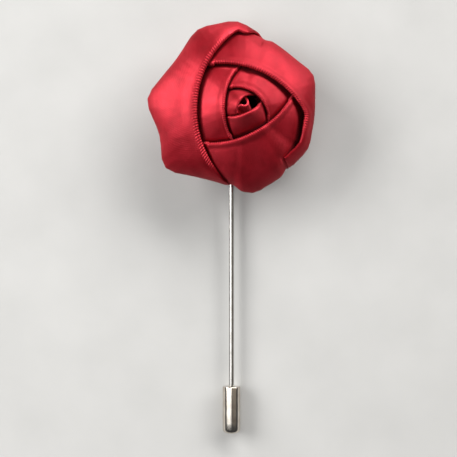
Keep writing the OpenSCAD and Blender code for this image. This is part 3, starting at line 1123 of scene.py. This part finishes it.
def head_and_pad():
    bm = bmesh.new()
    low = Vector((-HEAD_W / 2, -HEAD_END, AXIS_H - HEAD_T / 2)) * MM
    high = Vector((HEAD_W / 2, 0, AXIS_H + HEAD_T / 2)) * MM
    head = bmesh.ops.create_cube(bm, size=1.0)
    for v in head["verts"]:
        v.co = Vector(mix(low[i], high[i], v.co[i] + 0.5) for i in range(3))
    bmesh.ops.bevel(
        bm, geom=bm.edges[:], offset=HEAD_ROUND * MM, segments=BEVEL_STEPS, affect="EDGES", profile=0.5)
    pad = bmesh.ops.create_cone(
        bm, cap_ends=True, segments=LATHE_SIDES, radius1=PAD_R * MM, radius2=PAD_R * MM, depth=PAD_T * MM)
    for v in pad["verts"]:
        v.co.z += (PAD_LOW + PAD_T / 2) * MM
    mesh = bpy.data.meshes.new("pin_head")
    bm.to_mesh(mesh)
    bm.free()
    outward(mesh)
    return add_object("pin_head", mesh)


wire = lathe("pin_wire", wire_section())
pin_head = head_and_pad()
print(wire.name, len(wire.data.polygons), "faces")

# %% [markdown]
# Felt is matt and woolly: fine noise gives the fibres, coarser noise the clumps that they form, and
# a sheen the light that they catch at their ends.

# %% Felt material
FIBRES = Noise(2600.0, 6.0, 0.7)
FIBRE_BUMP = (0.12, 0.8)
CLUMPS = Noise(520.0, 4.0, 0.6)
CLUMP_BUMP = (0.3, 0.5)
FELT_TONES = (
    (0.32, (0.13, 0.004, 0.010, 1)), (0.55, (0.24, 0.008, 0.018, 1)), (0.75, (0.36, 0.02, 0.035, 1)))
FELT_LOOK = {
    "Roughness": 0.95, "Sheen Weight": 0.5, "Sheen Roughness": 0.6, "Sheen Tint": (1.0, 0.45, 0.45, 1)}


def felt_material():
    material, tree, bsdf = shader("pressed felt")
    link = tree.links.new
    where = add_node(tree, "ShaderNodeTexCoord")
    fibres = noise_node(tree, where.outputs["Object"], FIBRES)
    clumps = noise_node(tree, where.outputs["Object"], CLUMPS)
    link(ramp_node(tree, fibres, FELT_TONES), bsdf.inputs["Base Color"])
    fine = bump_node(tree, fibres, *FIBRE_BUMP)
    link(bump_node(tree, clumps, *CLUMP_BUMP, fine), bsdf.inputs["Normal"])
    give(bsdf, FELT_LOOK)
    return material


FELT = felt_material()
print("felt material:", FELT.name)

# %% [markdown]
# The metal is nickel plate: bright, with fine lines left by drawing, and a thin brown-grey bloom of
# handling in places. The lines follow the pin, so the noise is stretched along Y by a Mapping node.

# %% Nickel
DRAWN = Noise(5200.0, 3.0, 0.6)
DRAWN_STRETCH = (1.0, 0.04, 1.0)
DRAWN_BUMP = (0.01, 0.5)
BLOOM = Noise(330.0, 4.0, 0.6)
BLOOM_AT = (0.38, 0.62)


def nickel_material(name, light, dull, rough):
    material, tree, bsdf = shader(name)
    link = tree.links.new
    where = add_node(tree, "ShaderNodeTexCoord")
    lines = add_node(tree, "ShaderNodeMapping")
    link(where.outputs["Object"], lines.inputs["Vector"])
    give(lines, {"Scale": DRAWN_STRETCH})
    drawn = noise_node(tree, lines.outputs["Vector"], DRAWN)
    bloom = noise_node(tree, where.outputs["Object"], BLOOM)
    link(ramp_node(tree, bloom, list(zip(BLOOM_AT, (dull, light)))), bsdf.inputs["Base Color"])
    link(range_node(tree, bloom, *rough), bsdf.inputs["Roughness"])
    link(bump_node(tree, drawn, *DRAWN_BUMP), bsdf.inputs["Normal"])
    give(bsdf, {"Metallic": 1.0})
    return material


WIRE_METAL = nickel_material("drawn nickel", (0.43, 0.42, 0.41, 1), (0.36, 0.35, 0.33, 1), (0.24, 0.14))
CAP_METAL = nickel_material("plated cap", (0.70, 0.65, 0.58, 1), (0.54, 0.48, 0.42, 1), (0.20, 0.10))
print("metals:", WIRE_METAL.name, "and", CAP_METAL.name)

# %% [markdown]
# Each piece now gets its finish and the body that it moves with, and the solids that it stands for
# are hidden. The ribbons and the felt are cloth.

# %% Dressing the frame


def dress(obj, material, body, slot, *solids):
    obj.data.materials.clear()
    obj.data.materials.append(material)
    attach(obj, body)
    if solids:
        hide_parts(*solids)


for k, obj in satin_petals.items():
    dress(obj, SATIN, BROOCH, "satin", "petal_%d" % k)
    dress(selvedges[k], THREAD, BROOCH, "satin")
dress(satin_bud, BUD_SATIN, BROOCH, "satin", "bud")
dress(felt, FELT, BROOCH, "felt", "felt_back")
dress(wire, WIRE_METAL, BROOCH, "pin_metal", "pin")
dress(pin_head, WIRE_METAL, BROOCH, "pin_metal", "pin")
dress(metal_cap, CAP_METAL, CAP, "cap_metal", "cap")
print("sheets:", len(satin_petals) + 2)

# %% [markdown]
# The stage is a plain pale floor. Two broad soft keys stand low, one at the left and one at the top
# right, so the left and upper petals shine and the lower ones fall into shade. A panel hangs to the
# left above the pin: it is what the wire and the cap mirror as one clean white stripe. A dim warm
# fill opposite keeps their other side from going black.

# %% Stage and light
FLOOR_HALF = 3.0
FLOOR_GRAIN = Noise(60.0, 4.0, 0.5)
FLOOR_TONES = ((0.3, (0.40, 0.40, 0.395, 1)), (0.7, (0.43, 0.43, 0.425, 1)))
WORLD = {"Color": (0.80, 0.82, 0.85, 1), "Strength": 0.07}

# Place and target in metres, power in watts, width and height in metres, and colour.
Light = namedtuple("Light", "place target power width height color")
ROSE_AT = (0, 0, 0.01)
PIN_AT = (0, -0.068, 0.009)
KEY_WHITE = (1.0, 0.985, 0.96)
LIGHTS = {
    "left key": Light((-0.92, 0.37, 0.57), ROSE_AT, 18.5, 0.80, 0.50, KEY_WHITE),
    "right key": Light((0.57, 0.82, 0.57), ROSE_AT, 28.0, 1.60, 0.42, KEY_WHITE),
    "panel": Light((-0.196, -0.068, 0.311), PIN_AT, 0.60, 0.13, 0.47, (1.0, 1.0, 1.0)),
    "fill": Light((0.217, -0.068, 0.297), PIN_AT, 0.05, 0.13, 0.40, (1.0, 0.88, 0.74))}


def make_floor():
    mesh = bpy.data.meshes.new("floor")
    corners = [(x * FLOOR_HALF, y * FLOOR_HALF, 0) for x, y in ((-1, -1), (1, -1), (1, 1), (-1, 1))]
    mesh.from_pydata(corners, [], [(0, 1, 2, 3)])
    floor = add_object("floor", mesh)
    material, tree, bsdf = shader("pale floor")
    where = add_node(tree, "ShaderNodeTexCoord")
    grain = noise_node(tree, where.outputs["Object"], FLOOR_GRAIN)
    tree.links.new(ramp_node(tree, grain, FLOOR_TONES), bsdf.inputs["Base Color"])
    give(bsdf, {"Roughness": 0.8})
    mesh.materials.append(material)
    return floor


def soft_light(name, light):
    data = bpy.data.lights.new(name, "AREA")
    data.shape = "RECTANGLE"
    data.size = light.width
    data.size_y = light.height
    data.energy = light.power
    data.color = light.color
    lamp = bpy.data.objects.new(name, data)
    lamp.location = light.place
    lamp.rotation_mode = "QUATERNION"
    lamp.rotation_quaternion = (Vector(light.target) - Vector(light.place)).to_track_quat("-Z", "Y")
    lamp.visible_camera = False
    bpy.context.scene.collection.objects.link(lamp)


make_floor()
for name, light in LIGHTS.items():
    soft_light(name, light)
world = bpy.data.worlds.new("studio")
world.use_nodes = True
give(world.node_tree.nodes["Background"], WORLD)
bpy.context.scene.world = world
print("lights:", ", ".join(LIGHTS))
